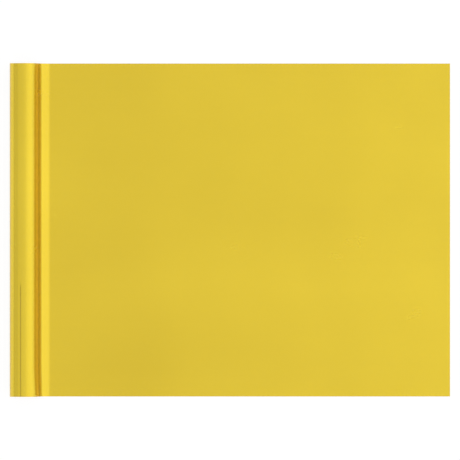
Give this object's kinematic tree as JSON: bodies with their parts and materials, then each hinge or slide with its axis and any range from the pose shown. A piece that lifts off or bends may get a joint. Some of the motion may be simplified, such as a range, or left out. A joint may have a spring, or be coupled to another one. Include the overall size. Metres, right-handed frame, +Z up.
{
  "type": "welding curtain film roll",
  "caption": "Translucent yellow welding-curtain film on a plugged paper core, part unrolled: slack outer turn, S-shaped fall and a long flat stretch.",
  "frame": {"origin": "middle of the object's footprint, on the surface that the film lies on", "axes": "+X from the roll towards the film's free edge, +Y along the core, +Z up"},
  "size_m": [1.8504, 1.4, 0.1135],
  "materials": {
    "yellow_film": "glossy, translucent",
    "core_board": "dull wound paperboard",
    "clear_tape": "satin double-sided tape",
    "pressed_wood": "pressed wood chips, dull"
  },
  "bodies": {
    "slack_turn": {"film_drape": "yellow_film"},
    "laid_film": {"film_web": "yellow_film"},
    "roll": {"film_wraps": "yellow_film", "core_tube": "core_board", "start_tape": "clear_tape"},
    "plug_front": {"core_plug_front": "pressed_wood"},
    "plug_rear": {"core_plug_rear": "pressed_wood"}
  },
  "joints": [
    {"name": "roll_turn", "type": "hinge", "parent": "slack_turn", "child": "roll", "pos_m": [-0.8621, 0, 0.04476], "axis": [0, -1, 0], "range_deg": [0, 1960]},
    {"name": "film_draw", "type": "slide", "parent": "slack_turn", "child": "laid_film", "axis": [-1, 0, 0], "range_m": [0, 1.574], "deforming": ["film_web"]},
    {"name": "plug_front_pull", "type": "slide", "parent": "roll", "child": "plug_front", "axis": [0, -1, 0], "range_m": [0, 0.04]},
    {"name": "plug_rear_pull", "type": "slide", "parent": "roll", "child": "plug_rear", "axis": [0, 1, 0], "range_m": [0, 0.04]}
  ],
  "couplings": [
    {"joint": "film_draw", "follows": "roll_turn", "m_per_rad": 0.046}
  ]
}
